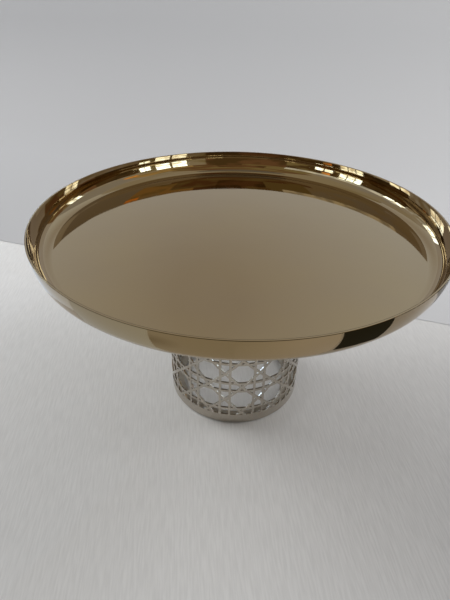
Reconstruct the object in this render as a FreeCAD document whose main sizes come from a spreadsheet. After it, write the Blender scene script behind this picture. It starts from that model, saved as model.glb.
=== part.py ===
import FreeCAD, Part
import math
import os
import Sketcher

# A round cake stand: a shallow spun tray with an upright rim, held by a stud and wing nut on a
# straight pedestal, whose tube is laser-cut in a cane-webbing lattice.
# Millimetres. +Z is up and is the axis of the stand. The origin is on that axis, on the surface
# the stand rests on. One octagon of the lattice faces -Y.

DIMENSIONS = [
    ("overall_height", 166.6, "surface it stands on to the top of the rim"),
    ("tray_radius", 150.0, "outer radius at the top of the rim"),
    ("tray_base_radius", 145.5, "outer radius where the lower wall's line meets the underside"),
    ("tray_depth", 20.6, "outside depth of the tray"),
    ("tray_bend", 5.85, "rim to the bend between the upright upper wall and the lower wall"),
    ("tray_curve", 39.0, "outside radius of that bend"),
    ("tray_sheet", 1.2, "sheet thickness of the tray"),
    ("tray_corner", 12.4, "outside radius between floor and wall"),
    ("rim_edge", 0.5, "rounding of the rim's two edges"),
    ("gasket_thickness", 1.0, "clear ring between tray and pedestal"),
    ("gasket_radius", 56.4, "outer radius of the gasket"),
    ("gasket_width", 9.0, "radial width of the gasket"),
    ("pedestal_radius", 57.7, "outer radius of the lattice tube"),
    ("pedestal_sheet", 1.5, "sheet thickness of the lattice tube"),
    ("cells_around", 13, "octagons in one turn of the lattice"),
    ("cell_rows", 4, "rows of octagons"),
    ("cell_height", 28.4, "height of one lattice cell"),
    ("bar_share", 0.072, "width of a lattice bar, as a share of the cell"),
    ("pair_share", 0.355, "cell centre to a bar's centre line, as a share of the cell"),
    ("base_band", 9.7, "height of the first opening above the ground"),
    ("fit_gap", 0.05, "radial gap of the parts inside the tube"),
    ("cap_sheet", 1.2, "sheet thickness of the top cap"),
    ("cap_flange", 14.0, "height of the top cap's turned-down flange"),
    ("cap_corner", 2.0, "outside radius of the top cap's edge"),
    ("hoop_sheet", 1.2, "sheet thickness of the base hoop"),
    ("hoop_height", 7.4, "height of the base hoop's wall"),
    ("hoop_flange", 9.0, "width of the base hoop's inward flange"),
    ("pad_count", 6, "foot pads under the base hoop"),
    ("pad_height", 2.0, "thickness of a foot pad"),
    ("pad_proud", 0.8, "height of the tube's lower edge above the ground"),
    ("pad_radius", 3.6, "radius of a foot pad where it is stuck on"),
    ("pad_tip_radius", 3.1, "radius of a foot pad where it touches the ground"),
    ("thread_radius", 3.0, "M6 thread"),
    ("stud_length", 17.0, "length of the stud below its flange"),
    ("stud_flange_radius", 7.0, "radius of the stud's welded flange"),
    ("stud_chamfer", 0.8, "lead-in at the stud's tip"),
    ("hole_clearance", 0.3, "radial clearance of the holes over the stud"),
    ("washer_radius", 12.0, "flat washer, outer radius"),
    ("washer_thickness", 1.6, "flat washer"),
    ("spring_radius", 5.9, "spring washer, outer radius"),
    ("spring_thickness", 1.6, "spring washer"),
    ("spring_slit", 1.0, "gap of the spring washer's slit"),
    ("nut_top_radius", 6.5, "wing nut's boss at its seat"),
    ("nut_tip_radius", 5.0, "wing nut's boss at its outer end"),
    ("nut_height", 8.0, "height of the wing nut's boss"),
    ("wing_span", 32.0, "wing nut, tip to tip"),
    ("wing_thickness", 2.4, "wing nut's wings"),
    ("wing_drop", 15.0, "wing nut, seat to the ends of its wings"),
    ("wing_root", 4.0, "radius inside the boss where a wing starts"),
    ("wing_step", 1.0, "wing nut, seat to the upper edge of its wings"),
    ("wing_width", 6.5, "width of a wing"),
    ("wing_round", 2.6, "rounding of the wings' ends"),
]

GASKET_TOP = "Dims.overall_height - Dims.tray_depth"
CAP_TOP = f"{GASKET_TOP} - Dims.gasket_thickness"
WASHER_TOP = f"{CAP_TOP} - Dims.cap_sheet"
SPRING_TOP = f"{WASHER_TOP} - Dims.washer_thickness"
NUT_TOP = f"{SPRING_TOP} - Dims.spring_thickness"
TUBE_BORE = "Dims.pedestal_radius - Dims.pedestal_sheet"
STUD_HOLE = "Dims.thread_radius + Dims.hole_clearance"


def make_sheet(doc):
    """The driving dimensions, one alias a row."""
    sheet = doc.addObject("Spreadsheet::Sheet", "Dims")
    for row, (alias, value, note) in enumerate(DIMENSIONS, start=1):
        sheet.set(f"A{row}", note)
        sheet.set(f"B{row}", str(value))
        sheet.setAlias(f"B{row}", alias)
    doc.recompute()
    return sheet


def origin_feature(body, role):
    """One of the body's own planes or axes."""
    for feature in body.Origin.OriginFeatures:
        if feature.Role == role:
            return feature
    raise ValueError(f"{body.Label} has no {role}")


def add_outline(body, name, corners):
    """A closed outline in the XZ plane. Each corner is (radius, height), both expressions."""
    sketch = body.newObject("Sketcher::SketchObject", name)
    sketch.AttachmentSupport = [(origin_feature(body, "XZ_Plane"), "")]
    sketch.MapMode = "FlatFace"
    places = [FreeCAD.Vector(x, z, 0) for x, z in evaluated(body, corners)]
    count = len(corners)
    for i in range(count):
        sketch.addGeometry(Part.LineSegment(places[i], places[(i + 1) % count]))
    for i in range(count):
        sketch.addConstraint(Sketcher.Constraint("Coincident", i, 2, (i + 1) % count, 1))
    for i, (x, z) in enumerate(corners):
        bind_distance(sketch, "DistanceX", i, x, places[i].x)
        bind_distance(sketch, "DistanceY", i, z, places[i].y)
    return sketch


def bind_distance(sketch, kind, line, expression, value):
    """Hold a line's first point at an expression's distance from the sketch's axis."""
    if abs(value) < 1e-9:
        axis = -2 if kind == "DistanceX" else -1
        sketch.addConstraint(Sketcher.Constraint("PointOnObject", line, 1, axis))
        return
    index = sketch.addConstraint(Sketcher.Constraint(kind, line, 1, value))
    sketch.setExpression(f"Constraints[{index}]", expression)


def make_turned(doc, label, corners):
    """A body turned about the Z axis from its outline."""
    body = doc.addObject("PartDesign::Body", label)
    sketch = add_outline(body, f"{label}_outline", corners)
    turned = body.newObject("PartDesign::Revolution", f"{label}_turned")
    turned.Profile = sketch
    turned.ReferenceAxis = (sketch, ["V_Axis"])
    turned.Angle = 360
    doc.recompute()
    return body


def ring_edges(shape, places):
    """Names of the circular edges about the axis at the given (radius, height) places."""
    names = []
    for number, edge in enumerate(shape.Edges, start=1):
        if not isinstance(edge.Curve, Part.Circle):
            continue
        for radius, height in places:
            on_radius = abs(edge.Curve.Radius - radius) < 1e-3
            if on_radius and abs(edge.Curve.Center.z - height) < 1e-3:
                names.append(f"Edge{number}")
    return names


def cross_edges(shape, places):
    """Names of the straight edges along Y at the given (x, height) places."""
    names = []
    for number, edge in enumerate(shape.Edges, start=1):
        first, last = edge.Vertexes[0].Point, edge.Vertexes[-1].Point
        along_y = abs(first.x - last.x) < 1e-3 and abs(first.z - last.z) < 1e-3
        for x, height in places:
            if along_y and abs(first.x - x) < 1e-3 and abs(first.z - height) < 1e-3:
                names.append(f"Edge{number}")
    return names


def evaluated(body, corners):
    return [(float(body.evalExpression(x)), float(body.evalExpression(z))) for x, z in corners]


def round_edges(doc, body, name, find_edges, corners, radius):
    """Round the body's edges that find_edges gives for the (x, height) corners, all expressions."""
    base = body.Tip
    names = find_edges(base.Shape, evaluated(body, corners))
    if len(names) != len(corners):
        raise ValueError(f"{body.Label}: {name} found {len(names)} edges")
    fillet = body.newObject("PartDesign::Fillet", name)
    fillet.Base = (base, names)
    fillet.setExpression("Radius", radius)
    doc.recompute()


def round_rings(doc, body, name, corners, radius):
    round_edges(doc, body, name, ring_edges, corners, radius)


def make_tray(doc):
    """One sheet, spun: flat floor, wide round corner, a wall that curves upright at the rim."""
    rim = "Dims.overall_height"
    bottom = GASKET_TOP
    floor = f"{GASKET_TOP} + Dims.tray_sheet"
    # The lower wall leans; the sheet's inner corners are set back to keep it one thickness.
    slope = "(Dims.tray_radius - Dims.tray_base_radius) / (Dims.tray_depth - Dims.tray_bend)"
    length = f"sqrt(1 + ({slope}) ^ 2)"
    outer_foot = ("Dims.tray_base_radius", bottom)
    outer_bend = ("Dims.tray_radius", f"{rim} - Dims.tray_bend")
    outer_rim = ("Dims.tray_radius", rim)
    inner_rim = ("Dims.tray_radius - Dims.tray_sheet", rim)
    inner_bend = (
        "Dims.tray_radius - Dims.tray_sheet",
        f"{rim} - Dims.tray_bend + Dims.tray_sheet * ({length} - 1) / ({slope})",
    )
    inner_foot = (f"Dims.tray_base_radius - Dims.tray_sheet * ({length} - {slope})", floor)
    body = make_turned(doc, "tray_dish", [
        ("0", bottom), outer_foot, outer_bend, outer_rim, inner_rim, inner_bend, inner_foot,
        ("0", floor),
    ])
    round_rings(doc, body, "tray_outer_curve", [outer_bend], "Dims.tray_curve")
    round_rings(doc, body, "tray_inner_curve", [inner_bend], "Dims.tray_curve - Dims.tray_sheet")
    round_rings(doc, body, "tray_outer_corner", [outer_foot], "Dims.tray_corner")
    round_rings(doc, body, "tray_inner_corner", [inner_foot], "Dims.tray_corner - Dims.tray_sheet")
    round_rings(doc, body, "tray_rim_rounding", [outer_rim, inner_rim], "Dims.rim_edge")
    return body


def make_gasket(doc):
    inner = "Dims.gasket_radius - Dims.gasket_width"
    return make_turned(doc, "tray_gasket", [
        (inner, CAP_TOP),
        ("Dims.gasket_radius", CAP_TOP),
        ("Dims.gasket_radius", GASKET_TOP),
        (inner, GASKET_TOP),
    ])


def make_stud(doc):
    """The stud welded under the middle of the tray."""
    tip = f"{CAP_TOP} - Dims.stud_length"
    return make_turned(doc, "tray_weld_stud", [
        ("0", tip),
        ("Dims.thread_radius - Dims.stud_chamfer", tip),
        ("Dims.thread_radius", f"{tip} + Dims.stud_chamfer"),
        ("Dims.thread_radius", CAP_TOP),
        ("Dims.stud_flange_radius", CAP_TOP),
        ("Dims.stud_flange_radius", GASKET_TOP),
        ("0", GASKET_TOP),
    ])


def make_top_cap(doc):
    """Pressed disc with a turned-down flange, welded inside the tube's top edge."""
    outer = f"{TUBE_BORE} - Dims.fit_gap"
    inner = f"{outer} - Dims.cap_sheet"
    lower = f"{CAP_TOP} - Dims.cap_sheet"
    edge = f"{CAP_TOP} - Dims.cap_flange"
    body = make_turned(doc, "pedestal_top_cap", [
        (STUD_HOLE, lower),
        (inner, lower),
        (inner, edge),
        (outer, edge),
        (outer, CAP_TOP),
        (STUD_HOLE, CAP_TOP),
    ])
    round_rings(doc, body, "cap_outer_corner", [(outer, CAP_TOP)], "Dims.cap_corner")
    inner_round = "Dims.cap_corner - Dims.cap_sheet"
    round_rings(doc, body, "cap_inner_corner", [(inner, lower)], inner_round)
    return body


def make_base_hoop(doc):
    """Angle-section hoop that stiffens the tube's lower edge and carries the foot pads."""
    outer = f"{TUBE_BORE} - Dims.fit_gap"
    wall = f"{outer} - Dims.hoop_sheet"
    inner = f"{outer} - Dims.hoop_flange"
    lower = "Dims.pad_height"
    return make_turned(doc, "pedestal_base_hoop", [
        (inner, lower),
        (outer, lower),
        (outer, f"{lower} + Dims.hoop_height"),
        (wall, f"{lower} + Dims.hoop_height"),
        (wall, f"{lower} + Dims.hoop_sheet"),
        (inner, f"{lower} + Dims.hoop_sheet"),
    ])


def make_flat_washer(doc):
    return make_turned(doc, "flat_washer", [
        (STUD_HOLE, SPRING_TOP),
        ("Dims.washer_radius", SPRING_TOP),
        ("Dims.washer_radius", WASHER_TOP),
        (STUD_HOLE, WASHER_TOP),
    ])


def make_spring_washer(doc):
    """A square-section ring with one slit."""
    outer = doc.addObject("Part::Cylinder", "spring_washer_outer")
    outer.setExpression("Radius", "Dims.spring_radius")
    outer.setExpression("Height", "Dims.spring_thickness")
    bore = doc.addObject("Part::Cylinder", "spring_washer_bore")
    bore.setExpression("Radius", STUD_HOLE)
    bore.setExpression("Height", "Dims.spring_thickness")
    ring = doc.addObject("Part::Cut", "spring_washer_ring")
    ring.Base = outer
    ring.Tool = bore
    slit = doc.addObject("Part::Box", "spring_washer_slit")
    slit.setExpression("Length", "Dims.spring_radius * 2")
    slit.setExpression("Width", "Dims.spring_slit")
    slit.setExpression("Height", "Dims.spring_thickness")
    slit.setExpression("Placement.Base.y", "-Dims.spring_slit / 2")
    washer = doc.addObject("Part::Cut", "spring_washer")
    washer.Base = ring
    washer.Tool = slit
    washer.setExpression("Placement.Base.z", NUT_TOP)
    return washer


def make_wing_nut(doc):
    """Tapered boss with two flat wings that reach down past it."""
    lower = f"{NUT_TOP} - Dims.nut_height"
    tips = f"{NUT_TOP} - Dims.wing_drop"
    bore = "Dims.thread_radius"
    body = make_turned(doc, "wing_nut", [
        (bore, lower),
        ("Dims.nut_tip_radius", lower),
        ("Dims.nut_top_radius", NUT_TOP),
        (bore, NUT_TOP),
    ])
    outline = add_outline(body, "wing_outline", [
        ("Dims.wing_root", f"{NUT_TOP} - Dims.wing_step"),
        ("Dims.wing_root + Dims.wing_width", f"{NUT_TOP} - Dims.wing_step"),
        ("Dims.wing_span / 2", tips),
        ("Dims.wing_span / 2 - Dims.wing_width", tips),
    ])
    wing = body.newObject("PartDesign::Pad", "wing_right")
    wing.Profile = outline
    wing.SideType = "Symmetric"
    wing.setExpression("Length", "Dims.wing_thickness")
    doc.recompute()
    pair = body.newObject("PartDesign::PolarPattern", "wing_pair")
    pair.Originals = [wing]
    pair.Axis = (origin_feature(body, "Z_Axis"), [""])
    pair.Angle = 360
    pair.Occurrences = 2
    body.Tip = pair
    doc.recompute()
    ends = []
    for side in ("", "-"):
        ends.append((f"{side}(Dims.wing_span / 2)", tips))
        ends.append((f"{side}(Dims.wing_span / 2 - Dims.wing_width)", tips))
    round_edges(doc, body, "wing_ends", cross_edges, ends, "Dims.wing_round")
    return body


def make_foot_pads(doc, sheet):
    """Clear domed pads, evenly spaced under the base hoop's flange."""
    count = int(sheet.pad_count)
    circle = f"({TUBE_BORE} - Dims.hoop_flange / 2)"
    pads = []
    for number in range(count):
        turn = f"({number} * 360 / Dims.pad_count * 1 deg)"
        pad = doc.addObject("Part::Cone", f"foot_pad_{number + 1}")
        pad.setExpression("Radius1", "Dims.pad_tip_radius")
        pad.setExpression("Radius2", "Dims.pad_radius")
        pad.setExpression("Height", "Dims.pad_height")
        pad.setExpression("Placement.Base.x", f"{circle} * cos{turn}")
        pad.setExpression("Placement.Base.y", f"{circle} * sin{turn}")
        pads.append(pad)
    group = doc.addObject("Part::Compound", "foot_pads")
    group.Links = pads
    return group


def octagon_openings(pair, half_bar, diagonal):
    """Openings centred on one octagon, as corner lists in shares of the cell."""
    side = pair - half_bar
    cut = 0.5 - diagonal - side
    octagon = [
        (side, -cut), (side, cut), (cut, side), (-cut, side),
        (-side, cut), (-side, -cut), (-cut, -side), (cut, -side),
    ]
    leg = 0.5 + diagonal - side
    openings = [octagon]
    for across in (1, -1):
        for up in (1, -1):
            corner = [(side, side), (leg, side), (side, leg)]
            openings.append([(across * x, up * y) for x, y in corner])
    return openings


def strip_openings(pair, half_bar, diagonal):
    """Openings of the upright strip between two octagons, about its crossing."""
    side = pair - half_bar
    half_gap = 0.5 - pair - half_bar
    house = [
        (0, diagonal), (half_gap, half_gap + diagonal), (half_gap, side),
        (-half_gap, side), (-half_gap, half_gap + diagonal),
    ]
    wedge = [
        (diagonal, 0), (half_gap, half_gap - diagonal), (half_gap, diagonal - half_gap),
    ]
    openings = []
    for sign in (1, -1):
        openings.append([(x, sign * y) for x, y in house])
        openings.append([(sign * x, y) for x, y in wedge])
    return openings


def square_opening(pair, half_bar):
    half_gap = 0.5 - pair - half_bar
    return [(half_gap, half_gap), (-half_gap, half_gap), (-half_gap, -half_gap), (half_gap, -half_gap)]


def lattice_openings(sheet):
    """Every opening of the tube, as a corner list in cells around and cells up."""
    pair = sheet.pair_share
    half_bar = sheet.bar_share / 2
    diagonal = half_bar * math.sqrt(2)
    cell = octagon_openings(pair, half_bar, diagonal)
    upright = strip_openings(pair, half_bar, diagonal)
    level = [[(y, x) for x, y in opening] for opening in upright]
    square = square_opening(pair, half_bar)
    openings = []
    for column in range(int(sheet.cells_around)):
        for row in range(int(sheet.cell_rows)):
            openings += [moved(opening, column, row) for opening in cell]
            openings += [moved(opening, column + 0.5, row) for opening in upright]
        for row in range(int(sheet.cell_rows) + 1):
            openings += [moved(opening, column, row - 0.5) for opening in level]
            openings.append(moved(square, column + 0.5, row - 0.5))
    return openings


def moved(opening, across, up):
    return [(x + across, y + up) for x, y in opening]


def opening_cutter(opening, sheet):
    """A prism through the tube's wall, square to it at the opening's middle."""
    radius = sheet.pedestal_radius
    reach = sheet.pedestal_sheet
    half_gap = 0.5 - sheet.pair_share - sheet.bar_share / 2
    first_row = sheet.base_band + (half_gap + 0.5) * sheet.cell_height
    turn = 2 * math.pi / sheet.cells_around
    middle = sum(x for x, y in opening) / len(opening)
    corners = []
    for x, y in opening:
        sideways = radius * math.sin((x - middle) * turn)
        corners.append(FreeCAD.Vector(sideways, -radius - reach, first_row + y * sheet.cell_height))
    face = Part.Face(Part.makePolygon(corners + corners[:1]))
    prism = face.extrude(FreeCAD.Vector(0, 3 * reach, 0))
    prism.rotate(FreeCAD.Vector(0, 0, 0), FreeCAD.Vector(0, 0, 1), math.degrees(middle * turn))
    return prism


def make_sleeve(doc, sheet):
    """The tube, rolled from a sheet that is laser-cut in a cane-webbing pattern."""
    height = sheet.overall_height - sheet.tray_depth - sheet.gasket_thickness - sheet.pad_proud
    outer = Part.makeCylinder(sheet.pedestal_radius, height)
    bore = Part.makeCylinder(sheet.pedestal_radius - sheet.pedestal_sheet, height)
    tube = outer.cut(bore)
    tube.translate(FreeCAD.Vector(0, 0, sheet.pad_proud))
    cutters = [opening_cutter(opening, sheet) for opening in lattice_openings(sheet)]
    sleeve = doc.addObject("Part::Feature", "pedestal_sleeve")
    sleeve.Shape = tube.cut(cutters)
    sleeve.Placement = FreeCAD.Placement()
    return sleeve


def check_document(doc, pieces):
    for item in doc.Objects:
        if "Invalid" in item.State or "Error" in item.State:
            raise RuntimeError(f"{item.Label} failed: {item.State}")
    for piece in pieces:
        if piece.Shape.isNull() or not piece.Shape.isValid():
            raise RuntimeError(f"{piece.Label} has no valid shape")


def main():
    doc = FreeCAD.newDocument("cake_stand")
    sheet = make_sheet(doc)
    pieces = [
        make_tray(doc),
        make_gasket(doc),
        make_stud(doc),
        make_sleeve(doc, sheet),
        make_top_cap(doc),
        make_base_hoop(doc),
        make_flat_washer(doc),
        make_spring_washer(doc),
        make_wing_nut(doc),
        make_foot_pads(doc, sheet),
    ]
    doc.recompute()
    check_document(doc, pieces)
    os.makedirs("parts", exist_ok=True)
    for piece in pieces:
        piece.Shape.exportStep(f"parts/{piece.Label}.step")
        solids = len(piece.Shape.Solids)
        print(f"{piece.Label}: {solids} solid(s), {piece.Shape.Volume:.0f} mm3")


main()
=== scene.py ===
import math

import bpy
from mathutils import Matrix, Vector
from mathutils.geometry import delaunay_2d_cdt


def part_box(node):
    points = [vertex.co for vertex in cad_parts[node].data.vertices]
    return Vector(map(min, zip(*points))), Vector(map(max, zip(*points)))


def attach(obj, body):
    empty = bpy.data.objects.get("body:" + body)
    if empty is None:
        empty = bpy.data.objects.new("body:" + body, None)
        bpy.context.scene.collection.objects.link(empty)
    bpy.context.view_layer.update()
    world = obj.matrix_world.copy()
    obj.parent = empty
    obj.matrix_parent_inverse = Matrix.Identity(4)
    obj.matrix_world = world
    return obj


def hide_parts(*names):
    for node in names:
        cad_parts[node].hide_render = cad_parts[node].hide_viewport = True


# A round cake stand: a gold mirror tray on a lattice tube. Metres. The Z axis is the stand's axis.

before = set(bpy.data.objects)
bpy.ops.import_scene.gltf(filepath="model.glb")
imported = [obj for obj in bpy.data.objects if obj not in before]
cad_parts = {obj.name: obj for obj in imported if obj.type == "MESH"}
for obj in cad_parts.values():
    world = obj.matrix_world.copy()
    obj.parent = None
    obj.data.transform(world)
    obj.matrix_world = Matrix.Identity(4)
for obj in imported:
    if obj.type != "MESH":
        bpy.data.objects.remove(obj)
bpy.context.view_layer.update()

MM = 0.001
TURN = 2 * math.pi

# ---------------------------------------------------------------- sizes

tray_low, tray_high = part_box("tray_dish")
tube_low, tube_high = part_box("pedestal_sleeve")
cap_low, cap_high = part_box("pedestal_top_cap")
hoop_low, hoop_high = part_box("pedestal_base_hoop")
gasket_low, gasket_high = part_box("tray_gasket")
stud_low, stud_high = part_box("tray_weld_stud")
washer_low, washer_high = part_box("flat_washer")
spring_low, spring_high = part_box("spring_washer")
nut_low, nut_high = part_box("wing_nut")
pads_low, pads_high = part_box("foot_pads")

TRAY_RADIUS = tray_high.x
TRAY_SHEET = 1.2 * MM
TRAY_BASE_RADIUS = 145.5 * MM
TRAY_BEND = 5.85 * MM
TRAY_CURVE = 39.0 * MM
TRAY_CORNER = 12.4 * MM
RIM_ROUND = 0.3 * MM

GASKET_WIDTH = 9.0 * MM

TUBE_RADIUS = tube_high.x
TUBE_SHEET = 1.5 * MM
TUBE_DEBURR = 0.12 * MM
CELLS_AROUND = 13
CELL_ROWS = 4
GRID = 2.0 ** -22
CELL_WIDTH = round(TURN * TUBE_RADIUS / CELLS_AROUND / GRID) * GRID
CELL_HEIGHT = 28.4 * MM
BASE_BAND = 9.7 * MM
BAR_SHARE = 0.072
PAIR_SHARE = 0.355
OPENING_ROUND = 0.22 * MM
PATCH_MARGIN = 1.0 * MM

CAP_SHEET = 1.2 * MM
CAP_CORNER = 2.0 * MM
HOOP_SHEET = 1.2 * MM
HOOP_CORNER = 1.0 * MM
HOOP_FLANGE = 9.0 * MM

STUD_RADIUS = 3.0 * MM
STUD_HOLE = 3.3 * MM
STUD_LEAD_IN = 1.2 * MM
STUD_POINT = 0.9 * MM
THREAD_PITCH = 1.0 * MM
THREAD_DEPTH = 0.55 * MM
GROOVE_HALF_WIDTH = 0.42
SPRING_SLIT = 1.0 * MM

NUT_HEIGHT = 8.0 * MM
NUT_TIP_RADIUS = 5.0 * MM
NUT_TOP_RADIUS = 6.5 * MM
NUT_THREAD_GAP = 0.1 * MM
WING_ROOT = 4.2 * MM
WING_STEP = 1.0 * MM
WING_WIDTH = 6.5 * MM
WING_HALF_THICKNESS = 1.2 * MM
WING_END_ROUND = 2.6 * MM

PAD_COUNT = 6
PAD_RADIUS = 3.6 * MM
PAD_TIP_RADIUS = 3.1 * MM

SMOOTH_TURN = 384
SMALL_TURN = 96


# ---------------------------------------------------------------- mesh helpers

def add_mesh(name, points, faces, normals=None):
    """A mesh object, shaded smooth with the given point normals."""
    mesh = bpy.data.meshes.new(name)
    mesh.from_pydata(points, [], faces)
    mesh.update()
    mesh.shade_smooth()
    if normals:
        mesh.normals_split_custom_set_from_vertices(normals)
    piece = bpy.data.objects.new(name, mesh)
    bpy.context.scene.collection.objects.link(piece)
    return piece


def turned(vector, angle):
    return Vector((
        vector.x * math.cos(angle) - vector.y * math.sin(angle),
        vector.x * math.sin(angle) + vector.y * math.cos(angle),
    ))


def rounded_outline(corners, steps=5, closed=True):
    """Points and normals of an outline with rounded corners.

    corners are (x, y, rounding), walked with the solid on the left. An open outline starts and
    ends on the first and last corner, which stay sharp."""
    count = len(corners)
    places = [Vector(corner[:2]) for corner in corners]
    outline = []
    for i in range(count):
        into = (places[i] - places[i - 1]).normalized()
        out = (places[(i + 1) % count] - places[i]).normalized()
        if not closed and i in (0, count - 1):
            along = out if i == 0 else into
            outline.append((places[i], Vector((along.y, -along.x))))
            continue
        side_normal = Vector((into.y, -into.x))
        turn = math.atan2(into.x * out.y - into.y * out.x, into.dot(out))
        side = 1 if turn > 0 else -1
        radius = corners[i][2]
        start = places[i] - into * radius * math.tan(abs(turn) / 2)
        centre = start - side_normal * radius * side
        for k in range(steps + 1):
            spoke = turned(side_normal * side, turn * k / steps)
            outline.append((centre + spoke * radius, spoke * side))
    return outline


def refined(outline, longest, closed=True):
    """The outline with extra points, so that no stretch is longer than longest."""
    fine = []
    count = len(outline)
    for i, (place, normal) in enumerate(outline):
        fine.append((place, normal))
        if i == count - 1 and not closed:
            break
        next_place, next_normal = outline[(i + 1) % count]
        gap = (next_place - place).length
        extra = math.ceil(gap / longest) - 1
        for k in range(1, extra + 1):
            share = k / (extra + 1)
            fine.append((place.lerp(next_place, share), normal.lerp(next_normal, share).normalized()))
    return fine


def lathe(name, corners, segments=SMOOTH_TURN, steps=6, longest=12 * MM, closed=True):
    """Turns an outline of (radius, height, rounding) corners about the Z axis."""
    outline = refined(rounded_outline(corners, steps, closed), longest, closed)
    points, normals, faces, rows = [], [], [], []
    for place, normal in outline:
        if place.x < 1e-7:
            rows.append([len(points)] * segments)
            points.append((0, 0, place.y))
            normals.append((0, 0, normal.y))
            continue
        rows.append(range(len(points), len(points) + segments))
        for j in range(segments):
            cos, sin = math.cos(TURN * j / segments), math.sin(TURN * j / segments)
            points.append((place.x * cos, place.x * sin, place.y))
            normals.append((normal.x * cos, normal.x * sin, normal.y))
    for i in range(len(rows) if closed else len(rows) - 1):
        here, there = rows[i], rows[(i + 1) % len(rows)]
        for j in range(segments):
            k = (j + 1) % segments
            faces.append(list(dict.fromkeys([here[j], here[k], there[k], there[j]])))
    return add_mesh(name, points, faces, normals)


def joined(name, pieces):
    """One object from several."""
    with bpy.context.temp_override(
        active_object=pieces[0], selected_editable_objects=pieces, object=pieces[0],
    ):
        bpy.ops.object.join()
    pieces[0].name = name
    return pieces[0]


# ---------------------------------------------------------------- tray

def make_tray():
    """One spun sheet: flat floor, wide round corner, a wall that curves upright, a soft rim edge."""
    low, top = tray_low.z, tray_high.z
    slope = (TRAY_RADIUS - TRAY_BASE_RADIUS) / (top - low - TRAY_BEND)
    length = math.sqrt(1 + slope * slope)
    inner_foot = TRAY_BASE_RADIUS - TRAY_SHEET * (length - slope)
    inner_bend = top - TRAY_BEND + TRAY_SHEET * (length - 1) / slope
    return lathe("tray", [
        (0, low, 0),
        (TRAY_BASE_RADIUS, low, TRAY_CORNER),
        (TRAY_RADIUS, top - TRAY_BEND, TRAY_CURVE),
        (TRAY_RADIUS, top, RIM_ROUND),
        (TRAY_RADIUS - TRAY_SHEET, top, RIM_ROUND),
        (TRAY_RADIUS - TRAY_SHEET, inner_bend, TRAY_CURVE - TRAY_SHEET),
        (inner_foot, low + TRAY_SHEET, TRAY_CORNER - TRAY_SHEET),
        (0, low + TRAY_SHEET, 0),
    ], steps=14, closed=False)


def make_gasket():
    """Flat silicone ring between the tray and the pedestal."""
    outer = gasket_high.x
    inner = outer - GASKET_WIDTH
    edge = 0.3 * MM
    return lathe("tray_gasket_ring", [
        (inner, gasket_low.z, edge), (outer, gasket_low.z, edge),
        (outer, gasket_high.z, edge), (inner, gasket_high.z, edge),
    ], segments=SMALL_TURN * 2)


# ---------------------------------------------------------------- lattice tube

def lattice_openings():
    """Openings of one column, one cell wide, as corner lists in shares of the cell."""
    half_bar = BAR_SHARE / 2
    side = PAIR_SHARE - half_bar
    half_gap = 0.5 - PAIR_SHARE - half_bar
    diagonal = half_bar * math.sqrt(2)
    cut = 0.5 - diagonal - side
    leg = 0.5 + diagonal - side
    octagon = [
        (side, -cut), (side, cut), (cut, side), (-cut, side),
        (-side, cut), (-side, -cut), (-cut, -side), (cut, -side),
    ]
    corner = [(side, side), (leg, side), (side, leg)]
    house = [
        (0, diagonal), (half_gap, half_gap + diagonal), (half_gap, side),
        (-half_gap, side), (-half_gap, half_gap + diagonal),
    ]
    wedge = [(diagonal, 0), (half_gap, half_gap - diagonal), (half_gap, diagonal - half_gap)]
    square = [(half_gap, half_gap), (-half_gap, half_gap), (-half_gap, -half_gap), (half_gap, -half_gap)]
    strip = []
    for sign in (1, -1):
        strip.append([(x, sign * y) for x, y in house])
        strip.append([(sign * x, y) for x, y in wedge])
    cell = [octagon]
    for across in (1, -1):
        cell += [[(across * x, up * y) for x, y in corner] for up in (1, -1)]
    openings = []
    for row in range(CELL_ROWS):
        openings += [[(x, y + row) for x, y in shape] for shape in cell]
        openings += [[(x - 0.5, y + row) for x, y in shape] for shape in strip]
    for row in range(CELL_ROWS + 1):
        openings += [[(y, x + row - 0.5) for x, y in shape] for shape in strip]
        openings.append([(x - 0.5, y + row - 0.5) for x, y in square])
    return openings


def snap(place):
    """Rounds to a grid that single-precision numbers hold exactly, so that equal places stay equal."""
    return Vector((round(place[0] / GRID) * GRID, round(place[1] / GRID) * GRID))


def counterclockwise(corners):
    area = sum(
        corners[i - 1][0] * corners[i][1] - corners[i][0] * corners[i - 1][1]
        for i in range(len(corners))
    )
    return corners if area > 0 else corners[::-1]


class RolledSheet:
    """Points and faces of a flat sheet, rolled into the tube as they are added."""

    def __init__(self):
        self.points, self.normals, self.faces, self.materials = [], [], [], []
        self.known = {}

    def point(self, x, z, depth, normal):
        """x along the sheet, z up, depth into the sheet; normal in the same three directions."""
        turns = x / (CELL_WIDTH * CELLS_AROUND) % 1.0
        key = (round(turns, 8) % 1.0, round(z, 9), round(depth, 9))
        if key not in self.known:
            angle = TURN * turns - math.pi / 2
            outward = Vector((math.cos(angle), math.sin(angle), 0))
            along = Vector((-math.sin(angle), math.cos(angle), 0))
            place = outward * (TUBE_RADIUS - depth)
            self.known[key] = len(self.points)
            self.points.append((place.x, place.y, z))
            tilted = along * normal[0] + Vector((0, 0, normal[1])) + outward * normal[2]
            self.normals.append(tilted.normalized())
        return self.known[key]

    def face(self, corners, material):
        corners = list(dict.fromkeys(corners))
        if len(corners) > 2:
            self.faces.append(corners)
            self.materials.append(material)


SKIN, CUT_EDGE = 0, 1


def section_steps():
    """Depth, setback and tilt of the rounded cut edge, from the outer skin to the inner one."""
    steps = []
    for k in range(3):
        angle = math.pi / 2 * k / 2
        depth = TUBE_DEBURR * (1 - math.cos(angle))
        steps.append((depth, TUBE_DEBURR * (1 - math.sin(angle)), math.cos(angle), math.sin(angle)))
    back = [(TUBE_SHEET - d, s, -out, into) for d, s, out, into in reversed(steps)]
    return steps + back


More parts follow.
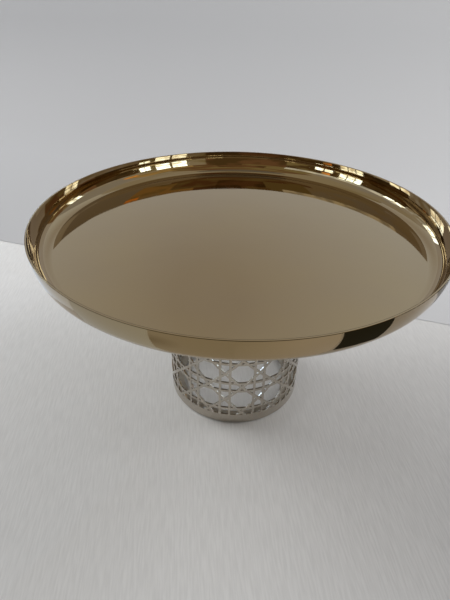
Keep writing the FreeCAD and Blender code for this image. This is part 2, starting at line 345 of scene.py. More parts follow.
def add_cut_edge(sheet, outline, shift, hole=True, closed=True):
    """The wall of a cut, from the outer skin to the inner skin, with its edges eased."""
    rows = []
    for depth, setback, out, into in section_steps():
        row = []
        for place, normal in outline:
            set_back = snap(place - normal * setback)
            tilt = (normal.x * into, normal.y * into, out)
            row.append(sheet.point(set_back.x + shift, set_back.y, depth, tilt))
        rows.append(row)
    count = len(outline)
    for i in range(len(rows) - 1):
        for j in range(count if closed else count - 1):
            k = (j + 1) % count
            quad = [rows[i][j], rows[i + 1][j], rows[i + 1][k], rows[i][k]]
            material = CUT_EDGE if i == len(rows) // 2 - 1 else SKIN
            sheet.face(quad[::-1] if hole else quad, material)


def make_tube():
    """The rolled tube: the column of openings, repeated round the axis."""
    first_row = BASE_BAND + (0.5 - PAIR_SHARE - BAR_SHARE / 2 + 0.5) * CELL_HEIGHT
    right = snap((PAIR_SHARE * CELL_WIDTH, 0)).x
    left = right - CELL_WIDTH
    bottom, top = tube_low.z, tube_high.z
    fine = 2.6 * MM

    outlines = []
    for corners in lattice_openings():
        corners = counterclockwise(corners)
        scaled = [(x * CELL_WIDTH, first_row + y * CELL_HEIGHT, OPENING_ROUND) for x, y in corners]
        outline = refined(rounded_outline(scaled, steps=2), fine)
        # The solid is outside an opening, so the wall faces its middle.
        outlines.append([(place, -normal) for place, normal in outline])

    band_points = 12
    columns = [snap((left + CELL_WIDTH * i / band_points, 0)).x for i in range(band_points)] + [right]
    skin_low, skin_high = bottom + TUBE_DEBURR, top - TUBE_DEBURR
    lattice_low = BASE_BAND - PATCH_MARGIN
    lattice_top_share = (CELL_ROWS - 0.5) + (0.5 - PAIR_SHARE + BAR_SHARE / 2)
    lattice_high = first_row + lattice_top_share * CELL_HEIGHT

    flat_points, flat_edges = [], []

    def add_loop(places):
        first = len(flat_points)
        flat_points.extend(places)
        flat_edges.extend((first + i, first + (i + 1) % len(places)) for i in range(len(places)))
        return list(range(first, first + len(places)))

    border = add_loop(
        [snap((x, lattice_low)) for x in columns]
        + [snap((x, lattice_high)) for x in reversed(columns)]
    )
    holes = []
    for outline in outlines:
        holes.append(add_loop([snap(place - normal * TUBE_DEBURR) for place, normal in outline]))
    inside_border, nearness = 1, 1e-9
    result = delaunay_2d_cdt(flat_points, flat_edges, [border] + holes, inside_border, nearness)
    flat, triangles, origins = result[0], result[2], result[5]

    # A triangle that lies in a hole comes from the border and from that hole as well.
    solid = [triangle for triangle, origin in zip(triangles, origins) if list(origin) == [0]]

    def band(low, high, rows):
        heights = [low + (high - low) * i / rows for i in range(rows + 1)]
        for i in range(rows):
            for j in range(band_points):
                yield [
                    snap((columns[j], heights[i])), snap((columns[j + 1], heights[i])),
                    snap((columns[j + 1], heights[i + 1])), snap((columns[j], heights[i + 1])),
                ]

    patches = [[flat[i] for i in triangle] for triangle in solid]
    patches += list(band(skin_low, lattice_low, 3))
    patches += list(band(lattice_high, skin_high, 5))
    lower_edge = [(Vector((x, bottom)), Vector((0, -1))) for x in columns]
    upper_edge = [(Vector((x, top)), Vector((0, 1))) for x in reversed(columns)]

    sheet = RolledSheet()
    for column in range(CELLS_AROUND):
        shift = column * CELL_WIDTH
        for patch in patches:
            outer = [sheet.point(p.x + shift, p.y, 0, (0, 0, 1)) for p in patch]
            inner = [sheet.point(p.x + shift, p.y, TUBE_SHEET, (0, 0, -1)) for p in patch]
            sheet.face(outer, SKIN)
            sheet.face(inner[::-1], SKIN)
        for outline in outlines:
            add_cut_edge(sheet, outline, shift)
        add_cut_edge(sheet, lower_edge, shift, hole=False, closed=False)
        add_cut_edge(sheet, upper_edge, shift, hole=False, closed=False)

    tube = add_mesh("lattice_tube", sheet.points, sheet.faces, sheet.normals)
    tube.data.polygons.foreach_set("material_index", sheet.materials)
    return tube


# ---------------------------------------------------------------- parts inside the tube

def make_top_cap():
    """Pressed disc with a turned-down flange."""
    edge = 0.15 * MM
    outer, low, top = cap_high.x, cap_low.z, cap_high.z
    inner = outer - CAP_SHEET
    return lathe("top_cap", [
        (STUD_HOLE, top - CAP_SHEET, edge), (inner, top - CAP_SHEET, CAP_CORNER - CAP_SHEET),
        (inner, low, edge), (outer, low, edge), (outer, top, CAP_CORNER), (STUD_HOLE, top, edge),
    ], segments=SMALL_TURN * 2)


def make_base_hoop():
    """Angle-section hoop inside the tube's lower edge."""
    edge = 0.15 * MM
    outer, low, top = hoop_high.x, hoop_low.z, hoop_high.z
    wall, inner = outer - HOOP_SHEET, outer - HOOP_FLANGE
    return lathe("base_hoop", [
        (inner, low, edge), (outer, low, HOOP_CORNER), (outer, top, edge),
        (wall, top, edge), (wall, low + HOOP_SHEET, HOOP_CORNER * 0.6),
        (inner, low + HOOP_SHEET, edge),
    ], segments=SMALL_TURN * 2)


def make_flat_washer():
    """Penny washer under the top cap."""
    edge = 0.2 * MM
    return lathe("penny_washer", [
        (STUD_HOLE, washer_low.z, edge), (washer_high.x, washer_low.z, edge),
        (washer_high.x, washer_high.z, edge * 2), (STUD_HOLE, washer_high.z, edge),
    ], segments=SMALL_TURN)


def make_spring_washer():
    """A square bar bent into a ring, with its slit."""
    outer = spring_high.x
    edge = 0.15 * MM
    section = rounded_outline([
        (STUD_HOLE, spring_low.z, edge), (outer, spring_low.z, edge),
        (outer, spring_high.z, edge), (STUD_HOLE, spring_high.z, edge),
    ], steps=2)
    steps = 72
    start = math.asin(SPRING_SLIT / 2 / outer)
    points, faces = [], []
    for j in range(steps + 1):
        angle = start + (TURN - 2 * start) * j / steps
        for place, normal in section:
            points.append((place.x * math.cos(angle), place.x * math.sin(angle), place.y))
    count = len(section)
    for j in range(steps):
        for i in range(count):
            k = (i + 1) % count
            faces.append([j * count + i, (j + 1) * count + i, (j + 1) * count + k, j * count + k])
    faces.append(list(range(count)))
    faces.append(list(range(steps * count, (steps + 1) * count))[::-1])
    ring = add_mesh("spring_washer_ring", points, faces)
    ring.data.set_sharp_from_angle(angle=math.radians(35))
    return ring


def make_stud():
    """The welded stud: a flange, and a shank with a rolled thread and a pointed tip."""
    flange = lathe("stud_flange", [
        (0, gasket_low.z, 0), (stud_high.x, gasket_low.z, 0.2 * MM),
        (stud_high.x, gasket_high.z, 0.2 * MM), (0, gasket_high.z, 0),
    ], segments=SMALL_TURN, closed=False)
    rows_a_turn = 10
    length = gasket_low.z - stud_low.z
    rows = round(length / THREAD_PITCH * rows_a_turn)
    segments = 48
    points, faces = [], []
    for i in range(rows + 1):
        z = stud_low.z + length * i / rows
        lead = min(1.0, (z - stud_low.z) / STUD_LEAD_IN)
        for j in range(segments):
            phase = (z / THREAD_PITCH - j / segments) % 1.0
            groove = max(0.0, 1 - abs(phase - 0.5) / GROOVE_HALF_WIDTH)
            crest = STUD_RADIUS - STUD_POINT * (1 - lead)
            radius = min(crest, STUD_RADIUS - THREAD_DEPTH * groove)
            angle = TURN * j / segments
            points.append((radius * math.cos(angle), radius * math.sin(angle), z))
    for i in range(rows):
        here, above = i * segments, (i + 1) * segments
        for j in range(segments):
            k = (j + 1) % segments
            faces.append([here + j, here + k, above + k, above + j])
    faces.append(list(range(segments))[::-1])
    faces.append(list(range(rows * segments, (rows + 1) * segments)))
    shank = add_mesh("stud_shank", points, faces)
    return joined("weld_stud", [shank, flange])


def make_wing_nut():
    """A cast nut: boss and wings grown together by remeshing, then smoothed."""
    top, low = nut_high.z, nut_high.z - NUT_HEIGHT
    bore = STUD_RADIUS + NUT_THREAD_GAP
    boss = lathe("wing_nut_casting", [
        (bore, low, 0.2 * MM), (NUT_TIP_RADIUS, low, 0.8 * MM),
        (NUT_TOP_RADIUS, top, 0.4 * MM), (bore, top, 0.2 * MM),
    ], segments=64)
    reach, drop, shoulder = nut_high.x, nut_low.z, top - WING_STEP
    thickness = (-WING_HALF_THICKNESS, WING_HALF_THICKNESS)
    pieces = [boss]
    for side in (1, -1):
        outline = rounded_outline([
            (WING_ROOT, shoulder, 0.5 * MM), (reach - WING_WIDTH, drop, WING_END_ROUND),
            (reach, drop, WING_END_ROUND), (WING_ROOT + WING_WIDTH, shoulder, 2.2 * MM),
        ], steps=6)
        count = len(outline)
        points = [(side * place.x, y, place.y) for y in thickness for place, normal in outline]
        faces = [list(range(count)), list(range(count, 2 * count))[::-1]]
        for i in range(count):
            k = (i + 1) % count
            faces.append([k, i, i + count, k + count])
        if side < 0:
            faces = [face[::-1] for face in faces]
        pieces.append(add_mesh("wing", points, faces))
    nut = joined("wing_nut_casting", pieces)
    remesh = nut.modifiers.new("grow", "REMESH")
    remesh.mode = "VOXEL"
    remesh.voxel_size = 0.28 * MM
    smooth = nut.modifiers.new("ease", "SMOOTH")
    smooth.factor, smooth.iterations = 0.5, 6
    apply_modifiers(nut)
    nut.data.shade_smooth()
    return nut


def apply_modifiers(piece):
    """Bakes a piece's modifiers into its mesh."""
    graph = bpy.context.evaluated_depsgraph_get()
    mesh = bpy.data.meshes.new_from_object(piece.evaluated_get(graph))
    piece.modifiers.clear()
    piece.data = mesh


def make_foot_pads():
    """Clear stick-on pads with domed edges."""
    low, high = pads_low.z, pads_high.z
    circle = pads_high.x - PAD_RADIUS
    pads = []
    for number in range(PAD_COUNT):
        pad = lathe("foot_pad", [
            (0, low, 0), (PAD_TIP_RADIUS, low, 0.7 * MM),
            (PAD_RADIUS, high, 0.15 * MM), (0, high, 0),
        ], segments=48, closed=False)
        angle = TURN * number / PAD_COUNT
        pad.data.transform(Matrix.Translation((circle * math.cos(angle), circle * math.sin(angle), 0)))
        pads.append(pad)
    return joined("stick_on_pads", pads)


# ---------------------------------------------------------------- materials

class Nodes:
    """Short names for building one material's nodes."""

    def __init__(self, name):
        self.material = bpy.data.materials.new(name)
        self.material.use_nodes = True
        self.tree = self.material.node_tree
        self.shader = self.tree.nodes["Principled BSDF"]

    def add(self, kind, **settings):
        node = self.tree.nodes.new(kind)
        for key, value in settings.items():
            setattr(node, key, value)
        return node

    def link(self, source, target):
        self.tree.links.new(source, target)

    def place(self, scale=(1, 1, 1)):
        """Object coordinates, stretched by scale."""
        coordinates = self.add("ShaderNodeTexCoord").outputs["Object"]
        mapping = self.add("ShaderNodeMapping")
        mapping.inputs["Scale"].default_value = scale
        self.link(coordinates, mapping.inputs["Vector"])
        return mapping.outputs["Vector"]

    def noise(self, scale, detail=3, stretch=(1, 1, 1), roughness=0.5):
        node = self.add("ShaderNodeTexNoise")
        node.inputs["Scale"].default_value = scale
        node.inputs["Detail"].default_value = detail
        node.inputs["Roughness"].default_value = roughness
        self.link(self.place(stretch), node.inputs["Vector"])
        return node.outputs["Fac"]

    def spread(self, value, low, high, start=0.3, end=0.7):
        node = self.add("ShaderNodeMapRange")
        node.inputs["From Min"].default_value = start
        node.inputs["From Max"].default_value = end
        node.inputs["To Min"].default_value = low
        node.inputs["To Max"].default_value = high
        self.link(value, node.inputs["Value"])
        return node.outputs["Result"]

    def ramp(self, value, *stops):
        node = self.add("ShaderNodeValToRGB")
        elements = node.color_ramp.elements
        while len(elements) < len(stops):
            elements.new(0.5)
        for element, (position, colour) in zip(elements, stops):
            element.position = position
            element.color = (*colour, 1)
        self.link(value, node.inputs["Fac"])
        return node.outputs["Color"]

    def bump(self, height, strength, distance):
        node = self.add("ShaderNodeBump")
        node.inputs["Strength"].default_value = strength
        node.inputs["Distance"].default_value = distance
        self.link(height, node.inputs["Height"])
        return node

    def feed(self, socket, value):
        self.link(value, self.shader.inputs[socket])

    def fix(self, socket, value):
        self.shader.inputs[socket].default_value = value


def gold_mirror():
    """Mirror-polished steel under a champagne-gold vapour coating."""
    n = Nodes("gold_mirror")
    n.fix("Metallic", 1.0)
    tone = n.noise(14, detail=2)
    n.feed("Base Color", n.ramp(tone, (0.30, (0.405, 0.305, 0.175)), (0.70, (0.390, 0.295, 0.180))))
    smudge = n.noise(38, detail=5, roughness=0.62)
    n.feed("Roughness", n.spread(smudge, 0.035, 0.075, 0.45, 0.75))
    wave = n.bump(n.noise(22, detail=1), 0.25, 0.0006)
    polish = n.bump(n.noise(900, detail=2, stretch=(1, 0.08, 1)), 0.02, 0.0001)
    n.link(wave.outputs["Normal"], polish.inputs["Normal"])
    n.feed("Normal", polish.outputs["Normal"])
    return n.material


def champagne_tube():
    """Polished tube, paler and greyer than the tray, with faint lines from rolling."""
    n = Nodes("champagne_polish")
    n.fix("Metallic", 1.0)
    tone = n.noise(30, detail=3)
    n.feed("Base Color", n.ramp(tone, (0.3, (0.50, 0.455, 0.395)), (0.7, (0.54, 0.495, 0.430))))
    lines = n.noise(260, detail=3, stretch=(1, 1, 0.06))
    n.feed("Roughness", n.spread(lines, 0.13, 0.22))
    n.feed("Normal", n.bump(lines, 0.08, 0.0001).outputs["Normal"])
    return n.material


def cut_edge():
    """Laser-cut edge: bare bright steel with fine upright striations."""
    n = Nodes("laser_cut_edge")
    n.fix("Metallic", 1.0)
    lines = n.noise(1800, detail=2, stretch=(1, 1, 0.25))
    n.feed("Base Color", n.ramp(lines, (0.3, (0.52, 0.49, 0.45)), (0.7, (0.72, 0.69, 0.64))))
    n.feed("Roughness", n.spread(lines, 0.12, 0.22))
    n.feed("Normal", n.bump(lines, 0.25, 0.0001).outputs["Normal"])
    return n.material


def satin_steel():
    """Pressed steel left as it came from the brush, for the parts inside the tube."""
    n = Nodes("satin_steel")
    n.fix("Metallic", 1.0)
    grain = n.noise(320, detail=4)
    n.feed("Base Color", n.ramp(grain, (0.3, (0.55, 0.515, 0.46)), (0.7, (0.63, 0.59, 0.53))))
    n.feed("Roughness", n.spread(grain, 0.28, 0.42))
    n.feed("Normal", n.bump(grain, 0.12, 0.0001).outputs["Normal"])
    return n.material


def zinc_plate():
    """Bright zinc with the faint blue and straw drift of its passivation."""
    n = Nodes("zinc_plate")
    n.fix("Metallic", 1.0)
    drift = n.noise(160, detail=3)
    n.feed("Base Color", n.ramp(drift, (0.3, (0.60, 0.63, 0.66)), (0.7, (0.70, 0.68, 0.60))))
    skin = n.noise(900, detail=4)
    n.feed("Roughness", n.spread(skin, 0.26, 0.44))
    n.feed("Normal", n.bump(skin, 0.2, 0.0002).outputs["Normal"])
    return n.material


def bare_steel():
    """Unplated grey steel."""
    n = Nodes("bare_steel")
    n.fix("Metallic", 1.0)
    grain = n.noise(700, detail=3)
    n.feed("Base Color", n.ramp(grain, (0.3, (0.45, 0.44, 0.43)), (0.7, (0.60, 0.59, 0.57))))
    n.feed("Roughness", n.spread(grain, 0.25, 0.40))
    return n.material


def clear_silicone(name, tint):
    """Soft translucent plastic with a dusty, slightly cloudy surface."""
    n = Nodes(name)
    cloud = n.noise(220, detail=4)
    dull = tuple(c * 0.88 for c in tint)
    n.feed("Base Color", n.ramp(cloud, (0.3, dull), (0.7, tint)))
    n.feed("Roughness", n.spread(cloud, 0.30, 0.48))
    n.feed("Normal", n.bump(cloud, 0.15, 0.0002).outputs["Normal"])
    n.fix("Transmission Weight", 0.55)
    n.fix("IOR", 1.42)
    return n.material


def table_cloth():
    """Pale wipe-clean cloth with fine ribs that run away from the camera."""
    n = Nodes("pale_table")
    streak = n.noise(760, detail=2, stretch=(1.0, 0.08, 1))
    n.feed("Base Color", n.ramp(streak, (0.35, (0.655, 0.655, 0.652)), (0.65, (0.715, 0.715, 0.712))))
    n.fix("Roughness", 0.62)
    n.feed("Normal", n.bump(streak, 0.4, 0.0003).outputs["Normal"])
    return n.material


def backdrop_glow():
    """Dull backdrop paper with a painted glow, which grows to the right, away from the brighter lamp."""
    n = Nodes("backdrop_paper")
    parts = n.add("ShaderNodeSeparateXYZ")
    n.link(n.place(), parts.inputs["Vector"])
    share = n.spread(parts.outputs["X"], 0.0, 1.0, -0.6, 0.6)
    n.fix("Base Color", (0.25, 0.25, 0.253, 1))
    n.fix("Roughness", 0.9)
    # Painted light: the paper glows more towards the right, though it is no lamp.
    n.feed("Emission Color", n.ramp(share, (0.0, (0.17, 0.173, 0.182)), (1.0, (0.35, 0.353, 0.36))))
    n.fix("Emission Strength", 1.0)
    return n.material


# ---------------------------------------------------------------- the piece list

def dress(piece, slot, node, *materials):
    """Gives a piece its materials and its body, and hides the CAD node that it stands for."""
    for material in materials:
        piece.data.materials.append(material)
    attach(piece, "root")
    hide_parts(node)


def build_stand():
    """Every piece, with its materials in the order that its faces number them."""
    zinc, satin = zinc_plate(), satin_steel()
    gasket_silicone = clear_silicone("gasket_silicone", (0.80, 0.80, 0.78))
    pad_plastic = clear_silicone("pad_plastic", (0.84, 0.85, 0.84))
    dress(make_tray(), "tray_gold", "tray_dish", gold_mirror())
    dress(make_tube(), "pedestal_metal", "pedestal_sleeve", champagne_tube(), cut_edge())
    dress(make_gasket(), "clear_silicone", "tray_gasket", gasket_silicone)
    dress(make_stud(), "steel_stud", "tray_weld_stud", bare_steel())
    dress(make_top_cap(), "pedestal_inner", "pedestal_top_cap", satin)
    dress(make_base_hoop(), "pedestal_inner", "pedestal_base_hoop", satin)
    dress(make_flat_washer(), "zinc_steel", "flat_washer", zinc)
    dress(make_spring_washer(), "zinc_steel", "spring_washer", zinc)
    dress(make_wing_nut(), "zinc_steel", "wing_nut", zinc)
    dress(make_foot_pads(), "clear_pad", "foot_pads", pad_plastic)


# ---------------------------------------------------------------- camera, floor and light

CAMERA_TURN = math.radians(-7.0)
CAMERA_BACK = 0.3129
CAMERA_UP = 0.3021
CAMERA_PITCH = math.radians(34.6)
CAMERA_YAW = math.radians(-1.8)
CAMERA_ROLL = math.radians(1.06)
CAMERA_LENS = 27.0
CAMERA_SENSOR = 36.0


def make_camera():
    """Looks down on the stand from the front, as near as an arm's reach."""
    data = bpy.data.cameras.new("camera")
    data.lens = CAMERA_LENS
    data.sensor_width = CAMERA_SENSOR
    data.clip_start = 0.01
    camera = bpy.data.objects.new("camera", data)
    bpy.context.scene.collection.objects.link(camera)
    place = Vector((0, -CAMERA_BACK, CAMERA_UP))
    pitch = Matrix.Rotation(math.pi / 2 - CAMERA_PITCH, 4, "X")
    yaw = Matrix.Rotation(-CAMERA_YAW, 4, "Z")
    roll = Matrix.Rotation(CAMERA_ROLL, 4, "Z")
    around = Matrix.Rotation(CAMERA_TURN, 4, "Z")
    camera.matrix_world = around @ Matrix.Translation(place) @ yaw @ pitch @ roll
    bpy.context.scene.camera = camera


def turned_place(x, y, z):
    """A place given in the camera's own right, forward and up directions along the floor."""
    return Matrix.Rotation(CAMERA_TURN, 4, "Z") @ Vector((x, y, z))


def toward(azimuth, elevation, distance):
    """A place round the tray. Azimuth 0 is away from the camera, 90 its right; both in degrees."""
    a, e = math.radians(azimuth), math.radians(elevation)
    out = turned_place(math.sin(a) * math.cos(e), math.cos(a) * math.cos(e), math.sin(e))
    return out * distance + Vector((0, 0, tray_high.z))


def add_lamp(name, azimuth, elevation, distance, width, height, power, colour):
    """A large soft light that faces the stand. Mirrors don't show it: they show the cards."""
    data = bpy.data.lights.new(name, "AREA")
    data.shape = "RECTANGLE"
    data.size, data.size_y = width, height
    data.energy = power
    data.color = colour
    lamp = bpy.data.objects.new(name, data)
    bpy.context.scene.collection.objects.link(lamp)
    lamp.location = toward(azimuth, elevation, distance)
    lamp.rotation_mode = "QUATERNION"
    lamp.rotation_quaternion = (lamp.location - Vector((0, 0, tray_low.z))).to_track_quat("Z", "Y")
    lamp.visible_glossy = False


def glow(name, colour, other, patches):
    """Emission for a card, drifting between two colours in patches of the given scale."""
    material = bpy.data.materials.new(name)
    material.use_nodes = True
    material.cycles.emission_sampling = "NONE"
    tree = material.node_tree
    tree.nodes.clear()
    coordinates = tree.nodes.new("ShaderNodeTexCoord")
    noise = tree.nodes.new("ShaderNodeTexNoise")
    noise.inputs["Scale"].default_value = patches
    noise.inputs["Detail"].default_value = 2
    ramp = tree.nodes.new("ShaderNodeValToRGB")
    ramp.color_ramp.elements[0].position = 0.42
    ramp.color_ramp.elements[1].position = 0.58
    ramp.color_ramp.elements[0].color = (*colour, 1)
    ramp.color_ramp.elements[1].color = (*other, 1)
    emission = tree.nodes.new("ShaderNodeEmission")
    output = tree.nodes.new("ShaderNodeOutputMaterial")
    tree.links.new(coordinates.outputs["Object"], noise.inputs["Vector"])
    tree.links.new(noise.outputs["Fac"], ramp.inputs["Fac"])
    tree.links.new(ramp.outputs["Color"], emission.inputs["Color"])
    tree.links.new(emission.outputs["Emission"], output.inputs["Surface"])
    return material


def only_in_mirrors(card):
    """Reflection cards are studio flags: polished metal shows them and nothing else does."""
    card.visible_camera = False
    card.visible_diffuse = False
    card.visible_shadow = False
    card.visible_transmission = False
    card.visible_volume_scatter = False


CARD_DISTANCE = 6.0
CARD_SECTION = 4
WINDOW_DISTANCE = 5.6
TABLE_CARD_LIFT = 0.001


def fading_glow(name, centre, near, far, start, end):
    """Emission for a card that changes from one colour to another away from a point."""
    n = Nodes(name)
    away = n.add("ShaderNodeVectorMath")
    away.operation = "DISTANCE"
    away.inputs[1].default_value = centre
    n.link(n.place(), away.inputs[0])
    share = n.spread(away.outputs["Value"], 0.0, 1.0, start, end)
    n.feed("Emission Color", n.ramp(share, (0.0, near), (1.0, far)))
    n.fix("Emission Strength", 1.0)
    n.fix("Base Color", (0, 0, 0, 1))
    return n.material


def add_sector(name, material, azimuths, edge):
    """A card in sections of about four degrees; edge gives the two points of each section line."""
    points, faces = [], []
    first, last = azimuths
    steps = max(1, round((last - first) / CARD_SECTION))
    for i in range(steps + 1):
        points += edge(first + (last - first) * i / steps)
    for i in range(steps):
        faces.append([2 * i, 2 * i + 2, 2 * i + 3, 2 * i + 1])
    card = add_mesh(name, points, faces)
    card.data.materials.append(material)
    only_in_mirrors(card)


def between(azimuths, elevations, distance=CARD_DISTANCE):
    """Edge function of a card that stands round the tray; azimuth and elevation in degrees."""
    def edge(azimuth):
        return [toward(azimuth, elevation, distance) for elevation in elevations]
    return azimuths, edge


def on_table(azimuths, radii):
    """Edge function of a flat card just over the table, a sector of a ring round the stand."""
    def edge(azimuth):
        a = math.radians(azimuth)
        return [turned_place(math.sin(a) * r, math.cos(a) * r, TABLE_CARD_LIFT) for r in radii]
    return azimuths, edge


def add_card(name, azimuths, elevations, colour, other, patches=0.6, distance=CARD_DISTANCE):
    """A glowing card that stands round the tray."""
    add_sector(name, glow(name, colour, other, patches), *between(azimuths, elevations, distance))


def add_window(name, azimuths, elevations, columns, rows, bar=0.16):
    """A bright window in front of the other cards, divided by dark glazing bars."""
    wide = (azimuths[1] - azimuths[0]) / columns
    high = (elevations[1] - elevations[0]) / rows
    for i in range(columns):
        for j in range(rows):
            left, low = azimuths[0] + wide * i, elevations[0] + high * j
            add_card(
                f"{name}_{i}_{j}", (left, left + wide * (1 - bar)), (low, low + high * (1 - bar)),
                WINDOW, WINDOW_DIM, 1.5, WINDOW_DISTANCE,
            )


def add_floor_card(name, azimuths, radii, colour):
    """A glowing card that lies on the table."""
    add_sector(name, glow(name, colour, colour, 1.0), *on_table(azimuths, radii))


PAPER_TURN = math.radians(-15.7)
PAPER_FRONT = 0.152
PAPER_FLAT = 0.52
PAPER_WALL = 0.76
PAPER_HALF_WIDTH = 1.8
PAPER_HEIGHT = 1.3
PAPER_LIFT = 0.0006
PAPER_STEPS = 12
FLOOR_REACH = 5.0


def make_backdrop():
    """The table, and a sheet of backdrop paper that starts behind the stand and turns up a wall."""
    floor = add_mesh("table", [
        turned_place(x, y, 0) for x, y in (
            (-FLOOR_REACH, -FLOOR_REACH), (FLOOR_REACH, -FLOOR_REACH),
            (FLOOR_REACH, FLOOR_REACH), (-FLOOR_REACH, FLOOR_REACH),
        )
    ], [[0, 1, 2, 3]])
    floor.data.materials.append(table_cloth())
    rows = [(PAPER_FRONT, PAPER_LIFT)]
    bend = PAPER_WALL - PAPER_FLAT
    for k in range(PAPER_STEPS + 1):
        a = math.pi / 2 * k / PAPER_STEPS
        rows.append((PAPER_FLAT + bend * math.sin(a), PAPER_LIFT + bend * (1 - math.cos(a))))
    rows.append((PAPER_WALL, PAPER_HEIGHT))
    turn = Matrix.Rotation(PAPER_TURN, 4, "Z")
    points = []
    for y, z in rows:
        for x in (-PAPER_HALF_WIDTH, PAPER_HALF_WIDTH):
            points.append(turned_place(*(turn @ Vector((x, y, z)))))
    faces = [[2 * i, 2 * i + 1, 2 * i + 3, 2 * i + 2] for i in range(len(rows) - 1)]
    paper = add_mesh("backdrop_paper", points, faces)
    paper.data.materials.append(backdrop_glow())
    paper.visible_glossy = False


ROOM_TONE = (0.21, 0.205, 0.20, 1)
WINDOW = (5.5, 7.2, 9.0)
WINDOW_DIM = (2.8, 3.2, 3.4)
GLOW = (1.15, 1.30, 1.45)
BLUISH = (0.66, 0.74, 0.84)
WALL = (0.50, 0.51, 0.55)
WALL_DIM = (0.48, 0.475, 0.465)
WALL_BRIGHT = (0.63, 0.68, 0.74)
WALL_SIDE = (0.41, 0.42, 0.44)
GREY = (0.43, 0.41, 0.34)
OLIVE = (0.31, 0.27, 0.14)
OCHRE = (0.56, 0.41, 0.18)
ORANGE = (1.4, 0.60, 0.13)
BROWN = (0.22, 0.13, 0.07)
DEEP = (0.12, 0.08, 0.035)
DARK = (0.07, 0.05, 0.022)
BLACK = (0.030, 0.030, 0.023)
SHADE = (0.40, 0.38, 0.33)
SHADE_DEEP = (0.27, 0.245, 0.19)
TABLE_BRIGHT = (0.70, 0.77, 0.86)
TABLE_COOL = (0.54, 0.58, 0.60)
TABLE_WARM = (0.51, 0.49, 0.46)


def make_world():
    """Even, dim light from all round."""
    world = bpy.data.worlds.new("studio")
    world.use_nodes = True
    background = world.node_tree.nodes["Background"]
    background.inputs["Color"].default_value = ROOM_TONE
    background.inputs["Strength"].default_value = 1.0
    bpy.context.scene.world = world


def add_low_cards():
    """What stands round the table: dark and pale parts of the room, windows and orange lamps."""
    add_card("low_behind_left", (-180, -150), (0, 19), BROWN, DEEP)
    add_card("low_beside_window", (-150, -101), (0, 16), DEEP, OLIVE)
    add_card("low_dark_left", (-101, -62), (0, 16), DARK, DEEP)
    add_card("low_pale_left", (-62, -31), (0, 19), GREY, BLUISH, 1.5)
    add_card("low_wall", (-31, 30), (0, 19), WALL, WALL_DIM)
    add_card("low_brown_right", (30, 62), (0, 19), OLIVE, BROWN, 1.0)
    add_card("low_olive_right", (62, 78), (0, 11), OLIVE, BROWN)
    add_card("low_dark_right", (78, 110), (0, 11), DARK, DEEP)
    add_card("low_over_dark_right", (62, 110), (11, 19), GREY, WALL, 1.5)
    add_card("low_beside_windows", (110, 156), (0, 19), GREY, OLIVE)
    add_card("low_behind_right", (156, 180), (0, 19), BROWN, DEEP)
    add_window("window_left", (-114, -97), (2, 17), 3, 3)
    add_window("window_left_pale", (-131, -118), (1, 9), 2, 1)
    add_card("orange_left", (-126, -120), (10, 15), ORANGE, OCHRE, 1.0, WINDOW_DISTANCE)
    add_window("window_far_left", (-40, -22), (7, 19), 3, 2)
    add_window("window_side", (52, 64), (6, 20), 2, 3)
    add_window("window_right_far", (111, 119), (2, 12), 2, 2)
    add_window("window_right_near", (122, 145), (2, 17), 2, 3)
    add_window("window_high_left", (-77, -59), (14, 24), 2, 2)
    add_card("orange_right", (95, 105), (23, 30), ORANGE, OCHRE, 1.0, WINDOW_DISTANCE)


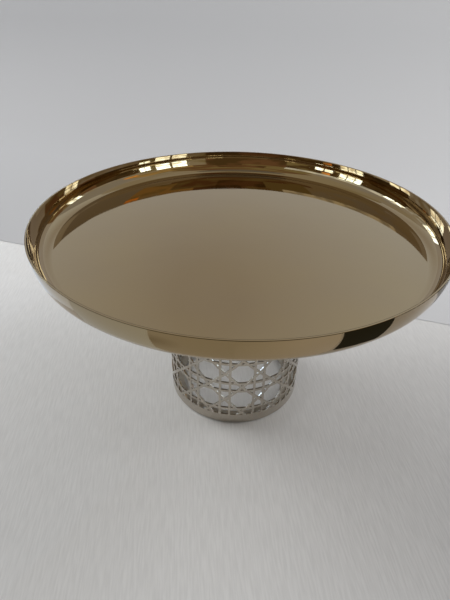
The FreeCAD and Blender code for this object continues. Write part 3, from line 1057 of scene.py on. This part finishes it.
def add_high_cards():
    """The pale wall in front, the brown room behind the camera, and what is above them."""
    add_card("mid_behind_left", (-180, -150), (19, 30), OLIVE, BROWN)
    add_card("mid_glow_left", (-150, -62), (16, 30), GLOW, BLUISH, 1.0)
    add_card("mid_pale_left", (-62, -31), (19, 30), WALL_DIM, GREY)
    middle = toward(-5, 35, CARD_DISTANCE)
    wall = fading_glow("wall", middle, WALL_DIM, WALL_BRIGHT, 0.5, 2.7)
    add_sector("wall", wall, *between((-31, 35), (19, 50)))
    add_card("wall_side", (35, 96), (19, 50), WALL_SIDE, WALL_SIDE)
    add_card("mid_ochre_right", (96, 146), (19, 30), OCHRE, GREY)
    add_card("mid_behind_right", (146, 180), (19, 30), BROWN, DEEP)
    add_card("high_dark_left", (-180, -162), (30, 50), BROWN, DEEP)
    add_card("high_behind_left", (-162, -128), (30, 50), OLIVE, OLIVE)
    add_card("high_left", (-128, -31), (30, 50), WALL_SIDE, GREY)
    add_card("high_ochre_right", (96, 128), (30, 50), OCHRE, OLIVE)
    add_card("high_behind_right", (128, 162), (30, 50), OLIVE, BROWN)
    add_card("high_dark_right", (162, 180), (30, 50), BROWN, DEEP)
    add_card("top_behind_left", (-180, -120), (50, 78), OLIVE, BROWN)
    add_card("top_left", (-120, -36), (50, 78), GREY, GREY)
    add_card("top_far", (-36, 12), (50, 78), OLIVE, GREY)
    add_card("top_right", (12, 120), (50, 78), GREY, WALL_DIM)
    add_card("top_behind_right", (120, 180), (50, 78), OLIVE, BROWN)


def add_table_cards():
    """The table as the outside of the rim shows it: shaded in front, pale left, black right."""
    ring = (0.13, 0.9)
    darkest = turned_place(-0.141, -0.206, 0)
    shade = fading_glow("shade_front", darkest, SHADE_DEEP, SHADE, 0.0, 0.06)
    add_sector("shade_front", shade, *on_table((180, 214.5), ring))
    palest = turned_place(0.197, -0.226, 0)
    fading_shade = fading_glow("shade_right", palest, TABLE_WARM, SHADE, 0.08, 0.22)
    add_sector("shade_right", fading_shade, *on_table((138, 180), ring))
    add_floor_card("pale_left", (214.6, 255.9), ring, TABLE_COOL)
    add_floor_card("black_right", (112, 137), (0.19, 0.9), BLACK)
    add_floor_card("bright_left", (-104, -60), (0.26, 0.9), TABLE_BRIGHT)


def light_scene():
    """Two soft lamps for what is matt, and the cards for what is polished."""
    make_world()
    add_lamp("key_left", -65, 30, 1.7, 0.9, 0.8, 22.0, (1.0, 1.0, 0.99))
    add_lamp("fill_right", 68, 32, 1.2, 0.8, 0.8, 9.4, (1.0, 0.985, 0.98))
    add_low_cards()
    add_high_cards()
    add_table_cards()


build_stand()
make_backdrop()
make_camera()
light_scene()
bpy.context.scene.view_settings.view_transform = "Standard"
